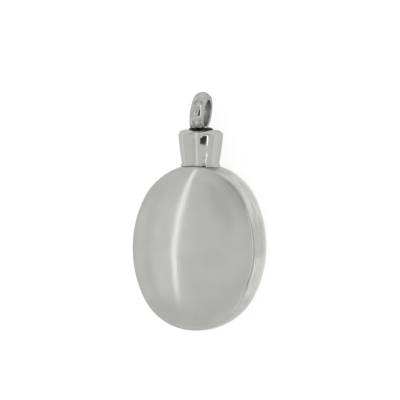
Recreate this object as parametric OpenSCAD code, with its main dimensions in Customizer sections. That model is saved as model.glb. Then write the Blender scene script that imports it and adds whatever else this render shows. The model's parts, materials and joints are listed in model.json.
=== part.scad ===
// Keepsake urn pendant: a hollow oval body, a turned neck and a screw stopper with a hanging eye.
// It lies on its back on z = 0: +Y runs along the pendant to the eye, and the front dome faces +Z.

/* [Body] */
// Width of the oval body
body_w = 19.2; // [18:0.1:22]
// Height of the oval, without the neck
body_h = 24.7; // [23:0.1:30]
// Thickness over the two domes
body_t = 8.2; // [7.4:0.1:9.4]
// Radius of the oval's two ends, as a share of its half width
end_round = 0.91; // [0.86:0.01:0.96]
// Thickness of the side wall, from crease to crease
rim_t = 7; // [6:0.1:7.2]
// How far the side wall bulges past the creases
rim_bulge = 0.3; // [0.1:0.05:0.6]
// Size of the rounding at each crease
crease_round = 0.3; // [0.1:0.05:0.6]
// Squareness of the domes: higher is flatter in the middle and steeper at the crease
dome_power = 2.5; // [2:0.1:3.5]
// Share of the full dome that lies inside the crease
dome_share = 0.97; // [0.9:0.01:0.99]
// Wall of the hollow body
wall = 1; // [0.8:0.05:1.4]

/* [Neck collar] */
// Height of the collar above the top of the body
collar_h = 5; // [4.5:0.1:7]
// Widest diameter of the collar
collar_d = 6.62; // [5.9:0.02:7.2]
// Diameter of the collar at its foot
foot_d = 5.74; // [5:0.02:6.2]
// Height of the straight foot above the top of the body
foot_h = 0.7; // [0.5:0.1:1.2]
// Radius of the rounded upper edge
shoulder_r = 1; // [0.6:0.05:1.2]
// Diameter of the spigot that seats in the body
spigot_d = 3.7; // [3.2:0.05:4]
// Length of the spigot below the top of the body
spigot_l = 1.2; // [1:0.1:1.6]

/* [Seal ring] */
// Outer diameter of the seal ring
seal_d = 3.6; // [3.3:0.05:3.9]
// Thickness of its round section
seal_cord = 0.72; // [0.6:0.02:0.8]
// How far the seal stands above the collar
seal_proud = 0.3; // [0:0.05:0.35]

/* [Screw] */
// Outer diameter of the thread
thread_d = 2.5; // [2.3:0.05:2.8]
// Length of the threaded shank below the seal's seat
thread_l = 4.3; // [3:0.1:5]
// Pitch of the thread
thread_pitch = 0.5; // [0.4:0.05:0.6]
// Depth of the thread
thread_depth = 0.22; // [0.15:0.01:0.28]

/* [Hanging eye] */
// Diameter of the hole that the chain passes through
eye_hole_d = 4; // [3.6:0.1:4.2]
// Outer diameter of the eye
eye_d = 6.16; // [5.6:0.02:7]
// Width of the eye along its hole
eye_w = 1.95; // [1.4:0.05:2.2]
// Radius of the eye's rounded outside
eye_crown_r = 1.2; // [1.1:0.05:2]
// Thickness left under the hole, down to the eye's flat base
eye_floor = 0.19; // [0.15:0.01:0.5]
// Lean of the eye to the side, in degrees
eye_lean = 7; // [0:1:12]

/* [Fits] */
// Gap between pieces that rest on each other
seat_gap = 0.04; // [0.02:0.01:0.08]
// Gap round what passes through a hole, on the radius
bore_gap = 0.05; // [0.02:0.01:0.09]

/* [Hidden] */
$fn = 96;
// Overlap of shapes that join, and how far a cutter reaches past what it cuts
eps = 0.01;
overcut = 1;
steel = [0.76, 0.76, 0.74];
rubber = [0.06, 0.06, 0.06];

// The oval: two end arcs and two side arcs that meet smoothly
half_w = body_w / 2;
half_h = body_h / 2;
end_r = end_round * half_w;
side_r = (half_w * half_w + half_h * half_h - 2 * half_h * end_r) / (2 * (half_w - end_r));
end_at = half_h - end_r;
side_at = side_r - half_w;
side_half_angle = atan2(end_at, side_at);

// The side wall is an arc from crease to crease
half_t = body_t / 2;
crease_z = rim_t / 2;
rim_r = (crease_z * crease_z + rim_bulge * rim_bulge) / (2 * rim_bulge);
dome_h = half_t - crease_z;

// How finely the body's skins are divided: on an end arc, a side arc, the side wall, a crease, a dome
outer_steps = [24, 14, 4, 4, 9];
inner_steps = [12, 8, 2, 2, 5];
// Share of the way out at which a dome ends in its small flat middle
dome_middle = 0.12;
// How much closer together the rings of a dome lie near the crease
ring_crowding = 1.6;

// Heights along the pendant, from the centre of the oval
foot_at = half_h + seat_gap;
collar_top = foot_at + collar_h;
base_at = collar_top + seal_proud + seat_gap;
eye_at = base_at + eye_floor + eye_hole_d / 2;
crown_at = eye_d / 2 - eye_crown_r;
tip_at = eye_at + crown_at * cos(eye_lean) + eye_crown_r;

// Where the oval's centre and the long axis lie
body_y = -(tip_at - half_h) / 2;
axis_z = max(body_t, collar_d) / 2;

// Seat of the seal in the mouth of the collar, and the holes that match their pins
seal_r = seal_cord / 2;
seat_depth = seal_cord + seat_gap - seal_proud;
seat_r = seal_d / 2 + bore_gap;
stem_r = seal_d / 2 - seal_cord - bore_gap;
thread_r = thread_d / 2;
root_r = thread_r - thread_depth;
screw_bore_r = thread_r + bore_gap;
spigot_r = spigot_d / 2;
spigot_bore_r = spigot_r + bore_gap;

// How far below the top of the body the foot's edge reaches before it is cut to the body's curve
foot_reach = end_r - sqrt(end_r * end_r - foot_d * foot_d / 4) + seat_gap;

// Sits a turned piece, made upright, on the pendant's long axis at a height along it
module on_axis(height) {
    translate([0, body_y + height, axis_z]) rotate([-90, 0, 0]) children();
}

// Rows of [centre x, centre y, radius, angle] once round the oval, one for each point of a ring
function oval_rows(end_n, side_n) =
    let (
        corner = side_half_angle,
        end_span = 180 - 2 * corner,
        arcs = [
            [-side_at, 0, side_r, -corner, 2 * corner, side_n],
            [0, end_at, end_r, corner, end_span, end_n],
            [side_at, 0, side_r, 180 - corner, 2 * corner, side_n],
            [0, -end_at, end_r, 180 + corner, end_span, end_n]
        ]
    )
    [for (a = arcs, i = [0 : a[5] - 1]) [a[0], a[1], a[2], a[3] + a[4] * i / a[5]]];

// One ring of points: the oval moved in by an inset, then shrunk about its centre by a share
function oval_ring(rows, inset, share, z) =
    [for (r = rows) [
        share * (r[0] + (r[2] - inset) * cos(r[3])),
        share * (r[1] + (r[2] - inset) * sin(r[3])),
        z
    ]];

// Height of a dome above the crease, as a share of its full height, at a share of the way out
function dome_rise(share) =
    let (edge = sqrt(1 - pow(dome_share, dome_power)))
    (sqrt(1 - pow(dome_share * share, dome_power)) - edge) / (1 - edge);

// Shares of the way out at which the rings of a dome lie, closer together near the crease
function dome_shares(first, n) =
    [for (i = [0 : n]) first - (first - dome_middle) * pow(i / n, ring_crowding)];

// Rings of a rounding from ring a to ring c, with the sharp corner at ring b
function rounding(a, b, c, n) =
    [for (i = [1 : n - 1]) let (t = i / n) pow(1 - t, 2) * a + 2 * t * (1 - t) * b + t * t * c];

// The rings of a skin turned over, front to back
function flipped(rings) =
    [for (i = [len(rings) - 1 : -1 : 0]) [for (p = rings[i]) [p[0], p[1], -p[2]]]];

// Joins the rings into one closed skin, flat over its first and last ring
module skin(rings) {
    n = len(rings[0]);
    last = len(rings) - 1;
    walls = [
        for (k = [0 : last - 1], i = [0 : n - 1])
            let (j = (i + 1) % n)
            [k * n + i, (k + 1) * n + i, (k + 1) * n + j, k * n + j]
    ];
    bottom = [for (i = [0 : n - 1]) i];
    top = [for (i = [n - 1 : -1 : 0]) last * n + i];
    polyhedron([for (r = rings, p = r) p], concat([bottom, top], walls), convexity = 4);
}

// The whole pillow shape about the oval's centre, moved in by inset from the side wall and the domes
module oval_pillow(inset, steps) {
    rows = oval_rows(steps[0], steps[1]);
    arc_r = rim_r - inset;
    edge_z = crease_z - inset;
    edge_inset = inset + arc_r - sqrt(arc_r * arc_r - edge_z * edge_z);
    wall_z = edge_z - crease_round;
    first_share = 1 - crease_round / (half_w - edge_inset);
    dome = [
        for (s = dome_shares(first_share, steps[4]))
            oval_ring(rows, edge_inset, s, edge_z + dome_h * dome_rise(s))
    ];
    side = [
        for (i = [0 : steps[2]])
            let (turn = asin(wall_z / arc_r) * (2 * i / steps[2] - 1))
            oval_ring(rows, inset + arc_r * (1 - cos(turn)), 1, arc_r * sin(turn))
    ];
    corner = oval_ring(rows, edge_inset, 1, edge_z);
    front = concat(rounding(side[steps[2]], corner, dome[0], steps[3]), dome);
    skin(concat(flipped(front), side, front));
}

// The hollow body, with the hole for the collar's spigot
module urn_body() {
    color(steel)
    difference() {
        translate([0, body_y, axis_z]) oval_pillow(0, outer_steps);
        translate([0, body_y, axis_z]) oval_pillow(wall, inner_steps);
        on_axis(0) cylinder(r = spigot_bore_r, h = half_h + overcut);
    }
}

// Section of the collar above the top of the body: straight foot, cone, rounded upper edge
module collar_section() {
    top_r = collar_d / 2 - shoulder_r;
    shoulder_at = collar_h - shoulder_r;
    polygon([
        [0, -foot_reach],
        [foot_d / 2, -foot_reach],
        [foot_d / 2, foot_h],
        [collar_d / 2, shoulder_at],
        [0, shoulder_at]
    ]);
    translate([0, shoulder_at]) square([top_r, shoulder_r]);
    intersection() {
        translate([top_r, shoulder_at]) circle(shoulder_r);
        translate([top_r, shoulder_at]) square(shoulder_r + eps);
    }
}

// The round end of the body as the foot sits on it: end arc and bulging wall, a seat gap larger
module body_end() {
    reach = end_r + seat_gap;
    translate([0, body_y + end_at, axis_z])
        rotate_extrude()
            intersection() {
                translate([end_r - rim_r, 0]) circle(rim_r + seat_gap);
                translate([0, -foot_d]) square([reach + eps, 2 * foot_d]);
            }
}

// The turned neck: its foot is cut to sit round the body's end, its spigot goes into the body
module neck_collar() {
    color(steel)
    difference() {
        union() {
            difference() {
                on_axis(foot_at) rotate_extrude() collar_section();
                body_end();
            }
            on_axis(half_h - spigot_l) cylinder(r = spigot_r, h = spigot_l + foot_h);
        }
        on_axis(half_h - spigot_l - overcut)
            cylinder(r = screw_bore_r, h = collar_h + spigot_l + 3 * overcut);
        on_axis(collar_top - seat_depth) cylinder(r = seat_r, h = seat_depth + overcut);
    }
}

// The rubber ring in the mouth of the collar
module seal_ring() {
    color(rubber)
    on_axis(collar_top + seal_proud - seal_r)
        rotate_extrude() translate([seal_d / 2 - seal_r, 0]) circle(seal_r);
}

// Section of the thread, drawn as rings one pitch apart, downwards from the seal's seat
module thread_section() {
    rings = floor(thread_l / thread_pitch) - 1;
    crest = 0.1 * thread_pitch;
    flank = 0.4 * thread_pitch;
    square_l = thread_l - thread_depth;
    translate([0, -square_l]) square([root_r, square_l]);
    polygon([[0, -thread_l], [root_r - thread_depth, -thread_l], [root_r, -square_l], [0, -square_l]]);
    for (i = [1 : rings])
        translate([0, -i * thread_pitch])
            polygon([
                [0, flank],
                [root_r, flank],
                [thread_r, crest],
                [thread_r, -crest],
                [root_r, -flank],
                [0, -flank]
            ]);
}

// Places the eye at the top of the stopper, leaning as it does
module eye_place() {
    translate([0, body_y + eye_at, axis_z]) rotate([0, 0, -eye_lean]) rotate([0, 90, 0]) children();
}

// The band of the eye, rounded outside
module eye_band() {
    rotate_extrude()
        intersection() {
            translate([0, -eye_w / 2]) square([eye_d / 2, eye_w]);
            union() {
                translate([0, -eye_w / 2]) square([crown_at, eye_w]);
                translate([crown_at, 0]) circle(eye_crown_r);
            }
        }
}

// The stopper in one piece: the eye on its flat base, and the threaded shank
module bail_screw() {
    seat_at = collar_top - seat_depth;
    color(steel)
    difference() {
        union() {
            difference() {
                eye_place() eye_band();
                translate([0, body_y + base_at - eye_d / 2, axis_z]) cube(eye_d, center = true);
            }
            on_axis(seat_at - eps) cylinder(r = stem_r, h = base_at - seat_at + eye_floor);
            on_axis(seat_at) rotate_extrude() thread_section();
        }
        eye_place() cylinder(d = eye_hole_d, h = eye_w + 2 * overcut, center = true);
    }
}

urn_body();
neck_collar();
seal_ring();
bail_screw();
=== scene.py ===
"""Looks of the keepsake urn pendant: polished body and neck, rubber seal, and a screw that ends in an eye."""
import json
import math

import bmesh
import bpy
from mathutils import Matrix, Vector


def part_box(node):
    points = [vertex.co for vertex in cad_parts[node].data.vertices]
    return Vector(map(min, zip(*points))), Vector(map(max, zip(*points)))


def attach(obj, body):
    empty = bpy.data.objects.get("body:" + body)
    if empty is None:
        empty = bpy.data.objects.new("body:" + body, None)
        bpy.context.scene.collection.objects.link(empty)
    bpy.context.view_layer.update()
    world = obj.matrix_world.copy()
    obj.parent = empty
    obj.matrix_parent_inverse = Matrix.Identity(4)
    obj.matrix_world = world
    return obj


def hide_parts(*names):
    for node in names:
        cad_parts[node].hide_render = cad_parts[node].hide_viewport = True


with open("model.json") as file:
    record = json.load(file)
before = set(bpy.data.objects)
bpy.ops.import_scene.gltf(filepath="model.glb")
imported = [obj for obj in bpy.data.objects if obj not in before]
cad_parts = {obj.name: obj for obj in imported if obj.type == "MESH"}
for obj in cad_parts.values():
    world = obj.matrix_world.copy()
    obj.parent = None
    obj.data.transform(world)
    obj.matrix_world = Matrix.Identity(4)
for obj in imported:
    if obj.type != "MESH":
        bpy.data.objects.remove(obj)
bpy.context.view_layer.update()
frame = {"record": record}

MM = 0.001

# Sizes read from the frame
body_low, body_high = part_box("urn_body")
collar_low, collar_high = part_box("neck_collar")
seal_low, seal_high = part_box("seal_ring")
eye_mount = next(m for m in frame["record"]["mounts"] if m["name"] == "chain_eye")

# Body: an oval between two low domes, with a slightly bulging side wall
HALF_H = 12.35 * MM
HALF_W = (body_high.x - body_low.x) / 2
HALF_T = (body_high.z - body_low.z) / 2
AXIS_Z = (body_high.z + body_low.z) / 2
BODY_Y = body_low.y + HALF_H
TOP_Y = BODY_Y + HALF_H
END_R = 0.91 * HALF_W
CREASE_Z = 3.5 * MM
CREASE_ROUND = 0.06 * MM
RIM_BULGE = 0.3 * MM
RIM_R = (CREASE_Z**2 + RIM_BULGE**2) / (2 * RIM_BULGE)
WALL = 1 * MM
SEAT_GAP = 0.04 * MM
HOLE_DEPTH = 0.25 * HALF_H

# Each dome rises as an oval curve of this power, cut off at this share of its reach
DOME_POWER = 2.5
DOME_SHARE = 0.97

# The crease is a curve that leaves dome and side wall in their own directions, found over small steps
CREASE_PULL = 0.4
DOME_STEP = 0.005
RIM_STEP = 0.01

# Points on an end arc and on a side arc, then rings on a dome, on a crease and on the side wall
BODY_STEPS = (64, 48, 44, 10, 20)
CHAMBER_STEPS = (24, 16, 12, 3, 8)

# Neck collar. The fillet of its foot starts at an angle in degrees, and the foot reaches down round the
# body's end.
SPIGOT_L = 1.2 * MM
SPIGOT_R = 1.85 * MM
SPIGOT_HOLE_R = 1.9 * MM
FOOT_Y = TOP_Y + SEAT_GAP
COLLAR_H = collar_high.y - FOOT_Y
COLLAR_R = (collar_high.x - collar_low.x) / 2
FOOT_R = 2.87 * MM
FOOT_H = 0.7 * MM
FOOT_FILLET = 0.3 * MM
FILLET_H = 0.1 * MM
FILLET_START = 240
FOOT_REACH = END_R - math.sqrt(END_R**2 - FOOT_R**2) + SEAT_GAP
SHOULDER_R = 1.05 * MM
SHOULDER_H = 0.85 * MM
BARREL = 0.03 * MM
SEAT_R = 1.85 * MM
SEAT_Y = collar_high.y - 0.46 * MM
SEAT_BEVEL = 0.1 * MM
BORE_R = 1.3 * MM
MOUTH_ROUND = 0.06 * MM

# Screw stopper with its eye
EYE_CENTRE = Vector(eye_mount["pos_m"])
EYE_AXIS = Vector(eye_mount["axis"]).normalized()
EYE_HOLE_R = eye_mount["dims"]["r_mm"] * MM
EYE_W = eye_mount["dims"]["length_mm"] * MM
EYE_R = 3.08 * MM
CROWN_R = 1.2 * MM
EYE_EDGE = 0.06 * MM
EYE_FLOOR = 0.19 * MM
BASE_Y = EYE_CENTRE.y - EYE_HOLE_R - EYE_FLOOR
STEM_R = 1.03 * MM
THREAD_R = 1.25 * MM
THREAD_DEPTH = 0.22 * MM
THREAD_PITCH = 0.5 * MM
THREAD_L = 4.3 * MM

# Shares of half a pitch that are the thread's root and its flank, and of its depth that the bore's groove has
ROOT_SHARE = 0.2
FLANK_SHARE = 0.6
GROOVE_SHARE = 0.8

# Least distance between two corners of a section
HAIR = 0.01 * MM

# Points once round each turned solid
END_TURN = 256
EYE_TURN = 160
COLLAR_TURN = 128
STEM_TURN = 96
BELOW_TURN = 48

# Points along a section: on the collar's cone, on half of the body's end, and for each pitch of a thread
CONE_STEPS = 16
END_STEPS = 12
BORE_STEPS = 10
SHANK_STEPS = 12


def arc(centre_r, centre_h, radius, start, end, steps):
    """Points of an arc in a section, as (radius from the axis, height); angles in degrees from outwards."""
    points = []
    for i in range(steps + 1):
        angle = math.radians(start + (end - start) * i / steps)
        points.append((centre_r + radius * math.cos(angle), centre_h + radius * math.sin(angle)))
    return points


def line(start, end, steps):
    """Points between two section points, without the first."""
    return [tuple(a + (b - a) * i / steps for a, b in zip(start, end)) for i in range(1, steps + 1)]


def new_object(name, mesh):
    """Links a mesh to the scene as an object."""
    made = bpy.data.objects.new(name, mesh)
    bpy.context.scene.collection.objects.link(made)
    return made


def smooth(mesh, sharp_angle=35):
    """Smooth shading, with the edges steeper than an angle kept sharp."""
    mesh.polygons.foreach_set("use_smooth", [True] * len(mesh.polygons))
    mesh.set_sharp_from_angle(angle=math.radians(sharp_angle))


def grid_mesh(name, rings, closed_section):
    """Mesh from rings of points with equal counts; the rings form a loop, or end in caps."""
    count = len(rings[0])
    faces = []
    pairs = len(rings) if closed_section else len(rings) - 1
    for k in range(pairs):
        here, there = k * count, (k + 1) % len(rings) * count
        for i in range(count):
            j = (i + 1) % count
            faces.append((here + i, there + i, there + j, here + j))
    if not closed_section:
        faces.append(tuple(range(count)))
        faces.append(tuple(range((len(rings) - 1) * count, len(rings) * count))[::-1])
    mesh = bpy.data.meshes.new(name)
    mesh.from_pydata([p for ring in rings for p in ring], [], faces)
    shape = bmesh.new()
    shape.from_mesh(mesh)
    bmesh.ops.recalc_face_normals(shape, faces=shape.faces)
    shape.to_mesh(mesh)
    shape.free()
    return mesh


def boolean(base, tool, operation):
    """Joins or cuts one object with another, which is then removed."""
    step = base.modifiers.new("Cut", "BOOLEAN")
    step.object = tool
    step.operation = operation
    step.solver = "EXACT"
    bpy.context.view_layer.update()
    shape = base.evaluated_get(bpy.context.evaluated_depsgraph_get())
    mesh = bpy.data.meshes.new_from_object(shape)
    base.modifiers.clear()
    base.data = mesh
    bpy.data.objects.remove(tool)
    return base


# The oval outline is made of two end arcs and two side arcs
SIDE_R = (HALF_W**2 + HALF_H**2 - 2 * HALF_H * END_R) / (2 * (HALF_W - END_R))
END_AT = HALF_H - END_R
SIDE_AT = SIDE_R - HALF_W
SIDE_ANGLE = math.atan2(END_AT, SIDE_AT)


def oval_rows(end_n, side_n):
    """Rows of (centre x, centre y, radius, angle) once round the oval."""
    end_span = math.pi - 2 * SIDE_ANGLE
    arcs = [
        (-SIDE_AT, 0, SIDE_R, -SIDE_ANGLE, 2 * SIDE_ANGLE, side_n),
        (0, END_AT, END_R, SIDE_ANGLE, end_span, end_n),
        (SIDE_AT, 0, SIDE_R, math.pi - SIDE_ANGLE, 2 * SIDE_ANGLE, side_n),
        (0, -END_AT, END_R, math.pi + SIDE_ANGLE, end_span, end_n),
    ]
    return [
        (x, y, radius, start + span * i / n)
        for x, y, radius, start, span, n in arcs
        for i in range(n)
    ]


def outline_point(row, inset):
    """Point of the oval, moved in by an inset."""
    x, y, radius, angle = row
    return x + (radius - inset) * math.cos(angle), y + (radius - inset) * math.sin(angle)


def dome_rise(share):
    """Height of a dome above its edge, as a share of its full height."""
    edge = math.sqrt(1 - DOME_SHARE**DOME_POWER)
    return (math.sqrt(1 - (DOME_SHARE * share) ** DOME_POWER) - edge) / (1 - edge)


def pillow_rings(inset, rows, dome_n, round_n, rim_n):
    """Rings of the whole pillow about the oval's centre: front dome, side wall, back dome."""
    arc_r = RIM_R - inset
    edge_z = CREASE_Z - inset
    edge_inset = inset + arc_r - math.sqrt(arc_r**2 - edge_z**2)
    round_from = 1 - CREASE_ROUND / (HALF_W - edge_inset)
    end_angle = math.asin((edge_z - CREASE_ROUND) / arc_r)

    def dome_point(row, share):
        """Point of the front dome; its rings become ellipses towards the middle."""
        x, y = outline_point(row, edge_inset)
        ellipse = 1 / math.hypot(x / (HALF_W - edge_inset), y / (HALF_H - edge_inset))
        rounder = (1 - share) ** 2
        scale = share * (1 + (ellipse - 1) * rounder)
        return Vector((x * scale, y * scale, edge_z + (HALF_T - CREASE_Z) * dome_rise(share)))

    def rim_point(row, angle):
        """Point of the side wall, at an angle from the middle of its bulge."""
        x, y = outline_point(row, inset + arc_r * (1 - math.cos(angle)))
        return Vector((x, y, arc_r * math.sin(angle)))

    def crease_point(row, t):
        """Point of the rounded crease, from the dome at 0 to the side wall at 1."""
        start, end = dome_point(row, round_from), rim_point(row, end_angle)
        pull = (end - start).length * CREASE_PULL
        leave = (start - dome_point(row, round_from - DOME_STEP)).normalized() * pull
        arrive = (rim_point(row, end_angle + RIM_STEP) - end).normalized() * pull
        a, b, c, d = start, start + leave, end + arrive, end
        return a * (1 - t) ** 3 + b * 3 * t * (1 - t) ** 2 + c * 3 * t**2 * (1 - t) + d * t**3

    front = []
    for i in range(1, dome_n + 1):
        share = round_from * math.sin(math.pi / 2 * i / dome_n)
        front.append([dome_point(row, share) for row in rows])
    for i in range(1, round_n):
        front.append([crease_point(row, i / round_n) for row in rows])
    rim = []
    for i in range(rim_n + 1):
        angle = end_angle * (1 - 2 * i / rim_n)
        rim.append([rim_point(row, angle) for row in rows])
    back = [[Vector((p.x, p.y, -p.z)) for p in ring] for ring in reversed(front)]
    return front + rim + back


def placed_pillow(name, inset, steps):
    """Closed pillow object on the pendant's axis."""
    end_n, side_n, dome_n, round_n, rim_n = steps
    rings = pillow_rings(inset, oval_rows(end_n, side_n), dome_n, round_n, rim_n)
    centre = Vector((0, BODY_Y, AXIS_Z))
    rings = [[p + centre for p in ring] for ring in rings]
    return new_object(name, grid_mesh(name, rings, False))


def on_long_axis(x, z, along):
    """Place of a point turned about the pendant's long axis; along is its y."""
    return Vector((x, along, AXIS_Z + z))


def on_eye(x, y, along):
    """Place of a point turned about the axis of the eye's hole."""
    turn = Vector((0, 0, 1)).rotation_difference(EYE_AXIS)
    return EYE_CENTRE + turn @ Vector((x, y, along))


def on_body_end(x, y, along):
    """Place of a point turned about the centre of the oval's upper end arc."""
    return Vector((x, BODY_Y + END_AT + y, AXIS_Z + along))


def turned(name, section, segments, place=on_long_axis, ridge=None, closed_section=False):
    """Solid turned from (radius, place along the axis) points; a ridge adds to the radius."""
    rings = []
    for radius, along in section:
        ring = []
        for i in range(segments):
            angle = 2 * math.pi * i / segments
            reach = radius + (ridge(angle, radius, along) if ridge else 0)
            ring.append(place(reach * math.cos(angle), reach * math.sin(angle), along))
        rings.append(ring)
    return new_object(name, grid_mesh(name, rings, closed_section))


def make_body():
    """The hollow body, with the hole that the collar's spigot goes into."""
    body = placed_pillow("urn_shell", 0, BODY_STEPS)
    chamber = placed_pillow("chamber", WALL, CHAMBER_STEPS)
    hole = turned("hole", [(SPIGOT_HOLE_R, TOP_Y - HOLE_DEPTH), (SPIGOT_HOLE_R, TOP_Y + SEAT_GAP)], STEM_TURN)
    boolean(body, chamber, "DIFFERENCE")
    boolean(body, hole, "DIFFERENCE")
    smooth(body.data)
    return body


def collar_section():
    """Outside of the collar as (radius, y), from the foot up: fillet, barrelled cone, rounded upper edge."""
    shoulder_at = COLLAR_H - SHOULDER_H
    cone_h = shoulder_at - FOOT_H
    slope = (COLLAR_R - FOOT_R + 4 * BARREL) / cone_h
    lean = math.degrees(math.atan(slope))
    waist_r = FOOT_R - slope * (FOOT_H - FILLET_H)
    fillet_r = waist_r + FOOT_FILLET * math.cos(math.radians(lean))
    points = arc(fillet_r, FILLET_H, FOOT_FILLET, FILLET_START, 180 - lean, steps=12)
    points = [(points[0][0] + HAIR, -FOOT_REACH)] + points
    points += line((waist_r, FILLET_H), (FOOT_R, FOOT_H), steps=4)
    for i in range(1, CONE_STEPS + 1):
        t = i / CONE_STEPS
        radius = FOOT_R + (COLLAR_R - FOOT_R) * t + BARREL * 4 * t * (1 - t)
        points.append((min(radius, COLLAR_R), FOOT_H + cone_h * t))
    for radius, height in arc(0, 0, 1, 0, 90, steps=20)[1:]:
        points.append((COLLAR_R - SHOULDER_R + SHOULDER_R * radius, shoulder_at + SHOULDER_H * height))
    return [(radius, FOOT_Y + height) for radius, height in points]


def screw_ridge(angle, y, pitch_top):
    """Height of a right-handed thread's ridge, from 0 to 1, at an angle and a place along the axis."""
    turns = (pitch_top - y) / THREAD_PITCH - angle / (2 * math.pi)
    phase = abs((turns % 1) - 0.5) * 2
    return max(0.0, min(1.0, (phase - ROOT_SHARE) / FLANK_SHARE))


def bore_tool():
    """What is cut out of the collar: the seal's seat with its rounded mouth, and the threaded bore."""
    bore_low = FOOT_Y - SPIGOT_L - THREAD_PITCH
    bore_top = SEAT_Y - SEAT_BEVEL
    bore_steps = int((bore_top - bore_low) / THREAD_PITCH * BORE_STEPS)

    def groove(angle, radius, y):
        """Depth of the bore's thread, which fades out at the seat."""
        if radius > BORE_R + HAIR:
            return 0
        fade = max(0, min(1, (bore_top - y) / THREAD_PITCH))
        return THREAD_DEPTH * GROOVE_SHARE * screw_ridge(angle, y, bore_top) * fade

    section = [(BORE_R, bore_low)]
    section += line(section[-1], (BORE_R, bore_top), bore_steps)
    section += line(section[-1], (BORE_R + SEAT_BEVEL, SEAT_Y), steps=1)
    section += [(SEAT_R, SEAT_Y), (SEAT_R, collar_high.y - 2 * MOUTH_ROUND)]
    section += arc(SEAT_R + MOUTH_ROUND, collar_high.y - MOUTH_ROUND, MOUTH_ROUND, 180, 90, steps=5)
    section += [(SEAT_R + MOUTH_ROUND, collar_high.y + THREAD_PITCH)]
    return turned("bore_tool", section, COLLAR_TURN, ridge=groove)


def make_collar():
    """The turned neck: its foot sits round the body's end, its spigot goes into the body."""
    collar = turned("neck", collar_section(), COLLAR_TURN)
    spread = math.asin(2 * FOOT_R / RIM_R)
    side_r = RIM_R + SEAT_GAP
    end = []
    for i in range(2 * END_STEPS + 1):
        angle = spread * (i / END_STEPS - 1)
        end.append((END_R - RIM_R + side_r * math.cos(angle), side_r * math.sin(angle)))
    boolean(collar, turned("body_end", end, END_TURN, place=on_body_end), "DIFFERENCE")
    spigot = turned("spigot", [(SPIGOT_R, FOOT_Y - SPIGOT_L), (SPIGOT_R, FOOT_Y + FOOT_H)], STEM_TURN)
    boolean(collar, spigot, "UNION")
    boolean(collar, bore_tool(), "DIFFERENCE")
    smooth(collar.data, sharp_angle=20)
    return collar


def make_seal():
    """The rubber ring in the mouth of the collar."""
    radius = (seal_high.y - seal_low.y) / 2
    middle = (seal_high.x - seal_low.x) / 2 - radius
    section = arc(middle, (seal_high.y + seal_low.y) / 2, radius, 0, 360, steps=24)[:-1]
    seal = turned("seal", section, STEM_TURN, closed_section=True)
    smooth(seal.data)
    return seal


def eye_section():
    """Outside of the eye's band as (radius from the eye's axis, place along it), without its hole."""
    half = EYE_W / 2
    end = math.degrees(math.asin((half - EYE_EDGE) / CROWN_R))
    crown = arc(EYE_R - CROWN_R, 0, CROWN_R, -end, end, steps=28)
    side_r = crown[-1][0] - EYE_EDGE * math.cos(math.radians(end))
    right = arc(side_r, half - EYE_EDGE, EYE_EDGE, 45, 90, steps=4)
    left = [(radius, -along) for radius, along in reversed(right)]
    return left + crown + right


def hole_section():
    """The hole through the eye, wider at both ends by its rounded edges."""
    half = EYE_W / 2
    edge = arc(EYE_HOLE_R + EYE_EDGE, half - EYE_EDGE, EYE_EDGE, 180, 90, steps=5)
    edge.append((EYE_HOLE_R + EYE_EDGE, half + EYE_EDGE))
    return [(radius, -along) for radius, along in reversed(edge)] + edge


def make_screw():
    """The stopper in one piece: the eye on its flat base, and the threaded shank."""
    screw = turned("screw_eye", eye_section(), EYE_TURN, place=on_eye)
    below = [(EYE_R, BASE_Y - EYE_R), (EYE_R, BASE_Y)]
    boolean(screw, turned("below", below, BELOW_TURN), "DIFFERENCE")

    root_r = THREAD_R - THREAD_DEPTH
    thread_low = SEAT_Y - THREAD_L
    shank = [(root_r - THREAD_DEPTH, thread_low)]
    shank += line(shank[-1], (root_r, thread_low + THREAD_DEPTH), steps=3)
    shank += line(shank[-1], (root_r, SEAT_Y), int(THREAD_L / THREAD_PITCH * SHANK_STEPS))
    shank += [(STEM_R, SEAT_Y + HAIR), (STEM_R, BASE_Y + EYE_FLOOR)]

    def ridge(angle, radius, y):
        """Height of the shank's thread, which fades out at both ends."""
        if not thread_low < y < SEAT_Y - HAIR or radius < root_r - HAIR:
            return 0
        fade = min(1, (SEAT_Y - y) / THREAD_PITCH, (y - thread_low) / THREAD_PITCH)
        return THREAD_DEPTH * screw_ridge(angle, y, SEAT_Y) * fade

    boolean(screw, turned("shank", shank, STEM_TURN, ridge=ridge), "UNION")
    boolean(screw, turned("eye_hole", hole_section(), EYE_TURN, place=on_eye), "DIFFERENCE")
    smooth(screw.data, sharp_angle=24)
    return screw


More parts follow.
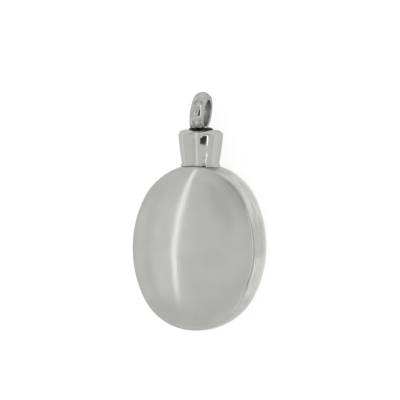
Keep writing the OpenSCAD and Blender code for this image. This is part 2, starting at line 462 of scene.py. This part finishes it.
class Nodes:
    """Short ways to add and join the nodes of one material or world."""

    def __init__(self, owner):
        owner.use_nodes = True
        self.tree = owner.node_tree
        self.tree.nodes.clear()

    def add(self, kind, inputs=None, **settings):
        """New node with its settings and inputs; an input is a value, or a socket to link."""
        node = self.tree.nodes.new(kind)
        for key, value in settings.items():
            setattr(node, key, value)
        for key, value in (inputs or {}).items():
            if isinstance(value, bpy.types.NodeSocket):
                self.tree.links.new(value, node.inputs[key])
            else:
                node.inputs[key].default_value = value
        return node

    def show(self, shader, output="ShaderNodeOutputMaterial"):
        """Makes a shader the one that shows."""
        self.add(output, {"Surface": shader})

    def point(self, kind="Object"):
        """Coordinates of the point being shaded."""
        return self.add("ShaderNodeTexCoord").outputs[kind]

    def axes(self, kind="Object"):
        """The same coordinates as separate X, Y and Z."""
        return self.add("ShaderNodeSeparateXYZ", {"Vector": self.point(kind)}).outputs

    def stretched(self, scale=(1, 1, 1), turn=(0, 0, 0)):
        """Object coordinates, turned and scaled."""
        inputs = {"Vector": self.point(), "Scale": scale, "Rotation": turn}
        return self.add("ShaderNodeMapping", inputs).outputs["Vector"]

    def math(self, operation, *values):
        """Outcome of a sum on one to three numbers."""
        return self.add("ShaderNodeMath", dict(enumerate(values)), operation=operation).outputs[0]

    def vector(self, operation, *values):
        """Outcome of a sum on vectors, which is a number for LENGTH."""
        node = self.add("ShaderNodeVectorMath", dict(enumerate(values)), operation=operation)
        return node.outputs["Value" if operation == "LENGTH" else "Vector"]

    def ramp(self, value, start, end, at_start=0.0, at_end=1.0):
        """Smooth step of a value, from one result at its start to another at its end."""
        inputs = {"Value": value, "From Min": start, "From Max": end, "To Min": at_start, "To Max": at_end}
        return self.add("ShaderNodeMapRange", inputs, interpolation_type="SMOOTHSTEP").outputs["Result"]

    def within(self, value, middle, half, soft, share=1.0):
        """A share within half a width of the middle, which fades to nothing over a soft edge."""
        away = self.math("ABSOLUTE", self.math("SUBTRACT", value, middle))
        return self.ramp(away, half + soft, half, 0.0, share)

    def noise(self, vector, scale, detail, roughness=0.5):
        """Noise from 0 to 1."""
        inputs = {"Vector": vector, "Scale": scale, "Detail": detail, "Roughness": roughness}
        return self.add("ShaderNodeTexNoise", inputs).outputs["Fac"]

    def blend(self, factor, first, second):
        """Colour between two others."""
        node = self.add("ShaderNodeMix", {"Factor": factor, "A": first, "B": second}, data_type="RGBA")
        return next(out for out in node.outputs if out.type == "RGBA")

    def bump(self, height, depth, strength=1.0, under=None):
        """Normal of a relief, on top of another relief's normal if there is one."""
        inputs = {"Height": height, "Distance": depth, "Strength": strength}
        if under is not None:
            inputs["Normal"] = under
        return self.add("ShaderNodeBump", inputs).outputs["Normal"]


# Colours of steel: the lighter and darker parts of its clouds, worn bright (also used for painted highlights
# and painted reflection), and dull (also used for painted shade), then the tint that each piece takes at a
# slant
STEEL_LIGHT = (0.5, 0.504, 0.48, 1)
STEEL_DARK = (0.48, 0.484, 0.461, 1)
STEEL_WORN_AND_SHEEN = (0.66, 0.664, 0.64, 1)
STEEL_DULL_AND_SHADE = (0.36, 0.363, 0.345, 1)
BODY_EDGE = (0.8, 0.8, 0.79, 1)
NECK_EDGE = (0.76, 0.76, 0.75, 1)
SCREW_EDGE = (0.64, 0.64, 0.63, 1)

# Roughness of the noise that the marks are made of; that of clouds and lines is 0.5
MARK_NOISE = 0.6

# Wear of the side wall, with painted highlights, shade and reflection in places. Angles are in degrees round
# the oval, from +X towards +Y.
STREAK_ANGLE = 24
STREAK_WIDTH = 1.3 * MM
STREAK_DETAIL = 3.0
SCUFF_ANGLE = 16
SCUFF_WIDTH = 0.7 * MM
SCUFF_DETAIL = 4.0
# Stretches where the streaks of wear are stronger or weaker; this also paints the side wall's reflection
# lighter or darker there
WEAR_AND_SHEEN_STRETCHES = [
    # (middle angle, half length, soft end, how much more is worn and painted lighter)
    (46, 16, 12, 0.7),
    (-24, 13, 8, 1.1),
    (-85, 22, 14, -0.5),
]
CREASE_HAZE = 0.4
# Thin lines along the crease: the light ones are painted highlights, the dark ones painted shade
PAINTED_CREASE_LINES = [
    # (middle angle, half length, soft end, mm over the crease, half width in mm, colour, how strong)
    (8, 22, 12, 0.06, 0.03, STEEL_WORN_AND_SHEEN, 0.3),
    (-2, 24, 12, 0.0, 0.03, STEEL_DULL_AND_SHADE, 0.3),
    (52, 9, 7, 0.05, 0.06, STEEL_DULL_AND_SHADE, 0.7),
    (-38, 8, 18, 0.02, 0.08, STEEL_WORN_AND_SHEEN, 0.5),
]

# A painted crease line fades out between these shares of its half width
LINE_OUTSIDE = 1.5
LINE_INSIDE = 0.7

# Ramps of the side wall, as (start, end) or (start, end, result at the start, result at the end): where it
# begins at the crease; its streaks, all round and in a stretch of more wear and painted reflection; its
# scuffs;
# the painted reflection that lightens its back half, and how far down that goes; its darker lower end; and
# the haze at the crease and beside the neck
RIM_RAMP = (0.0, -0.2 * MM)
STREAK_RAMP = (0.4, 0.7, 0.0, 0.5)
STRETCH_RAMP = (0.22, 0.5)
SCUFF_RAMP = (0.44, 0.66, 0.0, 0.55)
BACK_SHEEN_RAMP = (-0.8 * MM, -2.4 * MM, 0.0, 0.9)
BACK_SHEEN_END_RAMP = (-10.2 * MM, -7.4 * MM)
LOW_END_RAMP = (-8.2 * MM, -10.6 * MM, 0.0, 0.5)
CREASE_RAMP = (0.1 * MM, 0.03 * MM)
SHOULDER_RAMP = (10.0 * MM, 11.2 * MM, 0.0, 0.8)


def rim_wear_and_painted_light(nodes, colour, haze):
    """Streaks and scuffs of the less finely polished side wall, with painted reflection in stretches and on
    its back half, and painted highlight and shade lines and haze at its creases.
    """
    axes = nodes.axes()
    along = nodes.math("SUBTRACT", axes["Y"], BODY_Y)
    angle = nodes.math("DEGREES", nodes.math("ARCTAN2", along, axes["X"]))
    across = nodes.math("SUBTRACT", axes["Z"], AXIS_Z)
    height = nodes.math("SUBTRACT", nodes.math("ABSOLUTE", across), CREASE_Z)
    on_rim = nodes.ramp(height, *RIM_RAMP)

    def drawn_out(length, width, detail):
        """Noise drawn out along the side wall."""
        inputs = {"X": nodes.math("DIVIDE", angle, length), "Y": nodes.math("DIVIDE", across, width)}
        strip = nodes.add("ShaderNodeCombineXYZ", inputs).outputs["Vector"]
        return nodes.noise(strip, 1.0, detail, MARK_NOISE)

    streaks = drawn_out(STREAK_ANGLE, STREAK_WIDTH, STREAK_DETAIL)
    wear_and_sheen = nodes.ramp(streaks, *STREAK_RAMP)
    # Stronger or weaker streaks in stretches: wear, and painted reflection
    for middle, half, soft, share in WEAR_AND_SHEEN_STRETCHES:
        inside = nodes.within(angle, middle, half, soft, share)
        wear_and_sheen = nodes.math("MULTIPLY_ADD", inside, nodes.ramp(streaks, *STRETCH_RAMP), wear_and_sheen)
    scuffs = nodes.ramp(drawn_out(SCUFF_ANGLE, SCUFF_WIDTH, SCUFF_DETAIL), *SCUFF_RAMP)
    # Painted reflection: the back half of the side wall, which faces the floor at a slant, is painted lighter
    back = nodes.math("MULTIPLY", nodes.ramp(across, *BACK_SHEEN_RAMP), nodes.ramp(along, *BACK_SHEEN_END_RAMP))
    low_end = nodes.ramp(along, *LOW_END_RAMP)
    for share, tone in ((wear_and_sheen, STEEL_WORN_AND_SHEEN), (scuffs, STEEL_DULL_AND_SHADE), (back, STEEL_WORN_AND_SHEEN), (low_end, STEEL_DULL_AND_SHADE)):
        colour = nodes.blend(nodes.math("MULTIPLY", share, on_rim), colour, tone)

    # Painted highlights and painted shade along the crease
    for middle, half, soft, above, half_w, tone, share in PAINTED_CREASE_LINES:
        off = nodes.math("ABSOLUTE", nodes.math("SUBTRACT", height, above * MM))
        stroke = nodes.ramp(off, LINE_OUTSIDE * half_w * MM, LINE_INSIDE * half_w * MM)
        inside = nodes.within(angle, middle, half, soft, share)
        colour = nodes.blend(nodes.math("MULTIPLY", stroke, inside), colour, tone)

    crease = nodes.ramp(nodes.math("ABSOLUTE", height), *CREASE_RAMP)
    shoulder = nodes.math("MULTIPLY", nodes.ramp(along, *SHOULDER_RAMP), on_rim)
    hazy = nodes.math("MAXIMUM", crease, shoulder)
    return colour, nodes.ramp(hazy, 0.0, 1.0, haze, CREASE_HAZE)


# The painted highlight along the neck, a light line: where it lies, its half width and soft side in degrees,
# and how strong it is
NECK_HIGHLIGHT = (4, 1.5, 3.5, 0.85)


def painted_neck_highlight(nodes, colour, haze):
    """A painted highlight: one fine light line along the neck, by angle round it from +Z towards +X."""
    axes = nodes.axes()
    up = nodes.math("SUBTRACT", axes["Z"], AXIS_Z)
    angle = nodes.math("DEGREES", nodes.math("ARCTAN2", axes["X"], up))
    return nodes.blend(nodes.within(angle, *NECK_HIGHLIGHT), colour, STEEL_WORN_AND_SHEEN), haze


# Marks of the screw: the haze in its hole, then the noise of its mottling and flecks and how much of it shows
HOLE_HAZE = 0.3
MOTTLE_SCALE = 1500
MOTTLE_DETAIL = 4.0
MOTTLE_RAMP = (0.4, 0.62, 0.0, 0.75)
FLECK_SCALE = 3200
FLECK_STRETCH = (1, 0.5, 1)
FLECK_DETAIL = 3.0
FLECK_RAMP = (0.56, 0.7, 0.0, 0.5)


def eye_marks(nodes, colour, haze):
    """Dull mottling and light flecks of the screw, which is less finely polished, and a hazier hole."""
    out = nodes.vector("SUBTRACT", nodes.point(), EYE_CENTRE)
    distance = nodes.vector("LENGTH", nodes.vector("CROSS_PRODUCT", out, EYE_AXIS))
    haze = nodes.ramp(distance, EYE_HOLE_R + EYE_EDGE, EYE_HOLE_R, haze, HOLE_HAZE)
    mottles = nodes.noise(nodes.stretched(), MOTTLE_SCALE, MOTTLE_DETAIL, MARK_NOISE)
    colour = nodes.blend(nodes.ramp(mottles, *MOTTLE_RAMP), colour, STEEL_DULL_AND_SHADE)
    flecks = nodes.noise(nodes.stretched(FLECK_STRETCH), FLECK_SCALE, FLECK_DETAIL, MARK_NOISE)
    return nodes.blend(nodes.ramp(flecks, *FLECK_RAMP), colour, STEEL_WORN_AND_SHEEN), haze


# Polished steel: clouds of haze, fine polishing lines drawn out along the pendant, and shallow waves.
# A cloud's ramps give its colour, and its roughness as shares of the steel's haze.
CLOUD_SCALE = 260
CLOUD_DETAIL = 3.0
CLOUD_COLOUR = (0.35, 0.65)
CLOUD_HAZE = (0.3, 0.7)
LEAST_HAZE = 0.9
MOST_HAZE = 1.15
LINE_SCALE = 9000
LINE_STRETCH = (1, 0.06, 1)
LINE_TURN = (0, 0, math.radians(8))
WAVE_SCALE = 1300
RELIEF_DETAIL = 2.0


def steel(name, haze, line_depth, edge, marks, wave_depth=0):
    """Polished steel with fine polishing lines, clouds of haze, its own marks and, if deep enough, waves."""
    material = bpy.data.materials.new(name)
    nodes = Nodes(material)
    clouds = nodes.noise(nodes.stretched(), CLOUD_SCALE, CLOUD_DETAIL)
    colour = nodes.blend(nodes.ramp(clouds, *CLOUD_COLOUR), STEEL_DARK, STEEL_LIGHT)
    roughness = nodes.ramp(clouds, *CLOUD_HAZE, haze * LEAST_HAZE, haze * MOST_HAZE)
    colour, roughness = marks(nodes, colour, roughness)
    lines = nodes.noise(nodes.stretched(LINE_STRETCH, LINE_TURN), LINE_SCALE, RELIEF_DETAIL)
    normal = nodes.bump(lines, line_depth)
    if wave_depth:
        waves = nodes.noise(nodes.stretched(), WAVE_SCALE, RELIEF_DETAIL)
        normal = nodes.bump(waves, wave_depth, under=normal)
    surface = nodes.add("ShaderNodeBsdfPrincipled", {
        "Metallic": 1.0,
        "Specular Tint": edge,
        "Base Color": colour,
        "Roughness": roughness,
        "Normal": normal,
    })
    nodes.show(surface.outputs["BSDF"])
    return material


# Rubber: its two blacks, then the scale and detail of its patches and grain
RUBBER_DARK = (0.004, 0.004, 0.004, 1)
RUBBER_LIGHT = (0.009, 0.009, 0.009, 1)
PATCH_SCALE = 1800
PATCH_DETAIL = 2.0
PATCH_HAZE = (0.3, 0.7, 0.42, 0.58)
GRAIN_SCALE = 14000
GRAIN_DETAIL = 3.0
GRAIN_DEPTH = 0.004 * MM
GRAIN_STRENGTH = 0.5


def black_rubber():
    """Matte black rubber with a fine grain."""
    material = bpy.data.materials.new("seal_black_rubber")
    nodes = Nodes(material)
    patches = nodes.noise(nodes.stretched(), PATCH_SCALE, PATCH_DETAIL)
    grain = nodes.noise(nodes.stretched(), GRAIN_SCALE, GRAIN_DETAIL)
    surface = nodes.add("ShaderNodeBsdfPrincipled", {
        "Specular IOR Level": 0.2,
        "Base Color": nodes.blend(patches, RUBBER_DARK, RUBBER_LIGHT),
        "Roughness": nodes.ramp(patches, *PATCH_HAZE),
        "Normal": nodes.bump(grain, GRAIN_DEPTH, GRAIN_STRENGTH),
    })
    nodes.show(surface.outputs["BSDF"])
    return material


# Floor: half its width, its two greys, the scale and detail of its grain, and the light that it gives off
FLOOR_HALF = 1.5
FLOOR_DARK = (0.25, 0.25, 0.25, 1)
FLOOR_LIGHT = (0.27, 0.27, 0.27, 1)
FLOOR_SCALE = 900
FLOOR_DETAIL = 2.0
FLOOR_GLOW = 0.82


def make_floor():
    """The pale floor that the pendant lies on."""
    mesh = bpy.data.meshes.new("floor")
    corners = [(x * FLOOR_HALF, y * FLOOR_HALF, 0) for x, y in ((-1, -1), (1, -1), (1, 1), (-1, 1))]
    mesh.from_pydata(corners, [], [(0, 1, 2, 3)])
    floor = new_object("floor", mesh)
    material = bpy.data.materials.new("pale_floor")
    nodes = Nodes(material)
    grain = nodes.noise(nodes.stretched(), FLOOR_SCALE, FLOOR_DETAIL)
    surface = nodes.add("ShaderNodeBsdfPrincipled", {
        "Base Color": nodes.blend(grain, FLOOR_DARK, FLOOR_LIGHT),
        "Roughness": 0.7,
        "Specular IOR Level": 0.1,
        "Emission Color": (1, 1, 1, 1),
        "Emission Strength": FLOOR_GLOW,
    })
    nodes.show(surface.outputs["BSDF"])
    mesh.materials.append(material)


# Parts of the studio seen from the pendant, in degrees. Azimuth turns from straight up, +Z, towards +X,
# elevation towards +Y, and lean is how far a part's azimuth moves for each degree of elevation.
# First come four darker corners and six soft patches, darker or lighter, then a bright strip, a soft glow, a
# dark opening in two parts, its bright side, three short bright edges and a thin dark one.
STUDIO_LIGHT = 0.93
STUDIO_PARTS = [
    # (azimuth, elevation, half width, half height, lean, soft sides, soft ends, light)
    (68, -50, 22, 10, 0, 14, 12, 0.64),
    (-68, -50, 22, 10, 0, 14, 12, 0.64),
    (-62, 52, 16, 8, 0, 12, 12, 0.66),
    (62, 52, 16, 8, 0, 12, 12, 0.66),
    (4, 15, 6, 8, 0, 11, 10, 0.74),
    (-9, 2.5, 1.5, 2.5, 0, 3.5, 3.5, 0.81),
    (-9, -13, 14, 2.5, 0, 3, 4, 0.89),
    (-34, -4, 3, 5, 0, 5, 6, 0.98),
    (-19.5, -4.5, 1.5, 3.5, 0.08, 4.5, 5.5, 1.04),
    (-21, -19, 9, 3, 0, 6, 5, 0.86),
    (-15.63, 11, 0.15, 16, 0.103, 0.45, 8, 1.88),
    (18.5, -2, 3.5, 12, 0, 3, 5, 1.1),
    (27, -14.4, 14.6, 2.0, 0, 1.2, 0.5, 0.07),
    (35.5, -1, 12, 14, 0.2, 0.8, 0.8, 0.07),
    (49.2, 9, 1.6, 24.3, -0.14, 0.6, 0.6, 3.0),
    (51, -16.1, 3.5, 0.15, 0, 0.5, 0.2, 2.2),
    (51, -19.6, 3.5, 0.35, 0, 0.5, 0.3, 2.3),
    (47, -21.5, 4, 0.25, 0, 0.5, 0.2, 2.0),
    (33, -21.2, 6, 0.05, 0, 0.5, 0.15, 0.2),
]


def make_studio():
    """A pale light tent all round, with soft patches, a bright strip and a dark opening."""
    world = bpy.data.worlds.new("studio")
    bpy.context.scene.world = world
    nodes = Nodes(world)
    axes = nodes.axes("Generated")
    azimuth = nodes.math("DEGREES", nodes.math("ARCTAN2", axes["X"], axes["Z"]))
    elevation = nodes.math("DEGREES", nodes.math("ARCSINE", axes["Y"]))
    light = STUDIO_LIGHT
    for middle, height, half_w, half_h, lean, soft_sides, soft_ends, level in STUDIO_PARTS:
        up = nodes.math("SUBTRACT", elevation, height)
        leaning = nodes.math("MULTIPLY_ADD", up, lean, middle)
        inside_w = nodes.within(azimuth, leaning, half_w, soft_sides)
        inside_h = nodes.within(elevation, height, half_h, soft_ends)
        inside = nodes.math("MULTIPLY", inside_w, inside_h)
        light = nodes.math("MULTIPLY_ADD", inside, nodes.math("SUBTRACT", level, light), light)
    background = nodes.add("ShaderNodeBackground", {"Color": (1, 1, 1, 1), "Strength": light})
    nodes.show(background.outputs["Background"], "ShaderNodeOutputWorld")


# Camera: how far it is turned towards +X and raised towards +Y, and how the picture is framed.
# The column and row are where the photo, PHOTO_WIDTH pixels wide and high, has the body's centre.
CAMERA_TURN = math.radians(15)
CAMERA_RISE = math.radians(4)
CAMERA_ROLL = math.radians(0.6)
CAMERA_DISTANCE = 0.9
CLIP_START = 0.01
FRAME_WIDTH = 59.1 * MM
PHOTO_WIDTH = 400
BODY_COLUMN = 199.6
BODY_ROW = 247.1
SENSOR = 36.0


def make_camera():
    """The camera at the photo's angle, with the body's centre where the photo has it."""
    back = Vector((
        math.sin(CAMERA_TURN) * math.cos(CAMERA_RISE),
        math.sin(CAMERA_RISE),
        math.cos(CAMERA_TURN) * math.cos(CAMERA_RISE),
    ))
    right = Vector((0, 1, 0)).cross(back).normalized()
    up = back.cross(right)
    turn = Matrix.Rotation(CAMERA_ROLL, 3, back)
    right, up = turn @ right, turn @ up
    step = FRAME_WIDTH / PHOTO_WIDTH
    centre = Vector((0, BODY_Y, AXIS_Z))
    aim = centre + right * (PHOTO_WIDTH / 2 - BODY_COLUMN) * step + up * (BODY_ROW - PHOTO_WIDTH / 2) * step
    camera = bpy.data.cameras.new("camera")
    camera.sensor_width = SENSOR
    camera.lens = SENSOR * CAMERA_DISTANCE / FRAME_WIDTH
    camera.clip_start = CLIP_START
    holder = new_object("camera", camera)
    place = Matrix((right, up, back)).transposed().to_4x4()
    place.translation = aim + back * CAMERA_DISTANCE
    holder.matrix_world = place
    bpy.context.scene.camera = holder


def finish_piece(piece, node, body, material):
    """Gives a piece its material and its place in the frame."""
    piece.data.materials.clear()
    piece.data.materials.append(material)
    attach(piece, body)
    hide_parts(node)


make_camera()
make_studio()
make_floor()
body_steel = steel(
    "body_polished_steel", haze=0.055, line_depth=0.0005 * MM, edge=BODY_EDGE, marks=rim_wear_and_painted_light
)
neck_steel = steel(
    "neck_polished_steel", haze=0.05, line_depth=0.0003 * MM, edge=NECK_EDGE, marks=painted_neck_highlight,
    wave_depth=0.001 * MM,
)
screw_steel = steel(
    "screw_polished_steel", haze=0.06, line_depth=0.001 * MM, edge=SCREW_EDGE, marks=eye_marks,
    wave_depth=0.02 * MM,
)
finish_piece(make_body(), "urn_body", "urn", body_steel)
finish_piece(make_collar(), "neck_collar", "urn", neck_steel)
finish_piece(make_seal(), "seal_ring", "stopper", black_rubber())
finish_piece(make_screw(), "bail_screw", "stopper", screw_steel)
bpy.context.scene.view_settings.view_transform = "Standard"
